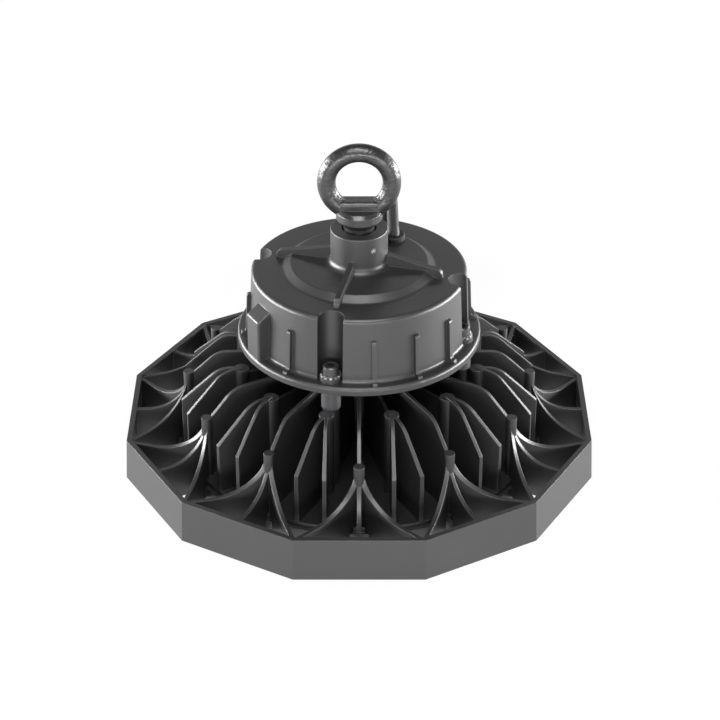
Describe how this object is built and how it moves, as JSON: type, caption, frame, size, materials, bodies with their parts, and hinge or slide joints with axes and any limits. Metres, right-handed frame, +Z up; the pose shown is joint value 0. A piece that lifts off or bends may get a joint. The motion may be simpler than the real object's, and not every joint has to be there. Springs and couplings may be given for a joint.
{
  "type": "high bay light",
  "caption": "Round high bay light: a twelve-sided finned heat sink with a lens underneath, a driver housing stood off above it, an eye bolt to hang it by and a trailing supply cable.",
  "frame": {"origin": "centre of the rim's lower edge, on the lamp's axis, level with the surface that it stands on", "axes": "+Z up along the lamp's axis to the eye bolt; the eye's opening runs along Y; +X to the right seen from the front (-Y)"},
  "size_m": [0.2592, 0.3744, 0.1888],
  "materials": {
    "heat_sink_coat": "black powder coat on die-cast aluminium, semi-matt",
    "housing_coat": "black powder coat on die-cast aluminium, semi-matt",
    "ring_coat": "black powder coat, semi-matt",
    "eye_coat": "glossy black coat on forged steel",
    "black_steel": "black oxide",
    "zinc_steel": "bright zinc plating",
    "bare_aluminium": "rolled sheet",
    "led_board_mask": "white solder mask on aluminium",
    "led_phosphor": "phosphor under clear silicone",
    "lens_clear": "clear, glossy polycarbonate",
    "thermal_pad_silicone": "matt",
    "seal_rubber": "matt",
    "insulating_film": "satin film",
    "circuit_board": "green solder mask",
    "ferrite": "matt",
    "winding_tape": "polyester tape",
    "capacitor_sleeve": "shrink sleeve",
    "choke_wire": "enamelled wire",
    "terminal_plastic": "moulded",
    "core_insulation": "extruded, satin",
    "gland_plastic": "moulded, satin",
    "cable_sheath": "smooth, satin"
  },
  "bodies": {
    "root": {"heat_sink": "heat_sink_coat", "thermal_pad": "thermal_pad_silicone", "led_board": "led_board_mask", "led_packages": "led_phosphor", "board_screws": "zinc_steel", "lens_cover": "lens_clear", "lens_gasket": "seal_rubber", "lens_clamp_ring": "ring_coat", "lens_ring_screws": "zinc_steel", "standoff_spacers": "black_steel", "wire_conduit": "zinc_steel", "conduit_seals": "seal_rubber", "driver_housing": "housing_coat", "housing_gasket": "seal_rubber", "driver_base_plate": "housing_coat", "base_plate_screws": "zinc_steel", "housing_screws": "black_steel", "toothed_lock_washers": "zinc_steel", "insulating_sheet": "insulating_film", "driver_board": "circuit_board", "driver_board_screws": "zinc_steel", "transformer_core": "ferrite", "transformer_winding": "winding_tape", "bulk_capacitors": "capacitor_sleeve", "input_choke": "choke_wire", "switch_heat_spreader": "bare_aluminium", "terminal_block": "terminal_plastic", "supply_cores": "core_insulation", "lamp_leads": "core_insulation", "cable_gland": "gland_plastic", "gland_nut": "gland_plastic", "supply_cable": "cable_sheath", "cable_coil": "cable_sheath", "cable_end_cores": "core_insulation", "eye_bolt": "eye_coat", "eye_bolt_lock_nut": "black_steel", "eye_bolt_grub_screw": "zinc_steel"}
  },
  "joints": []
}
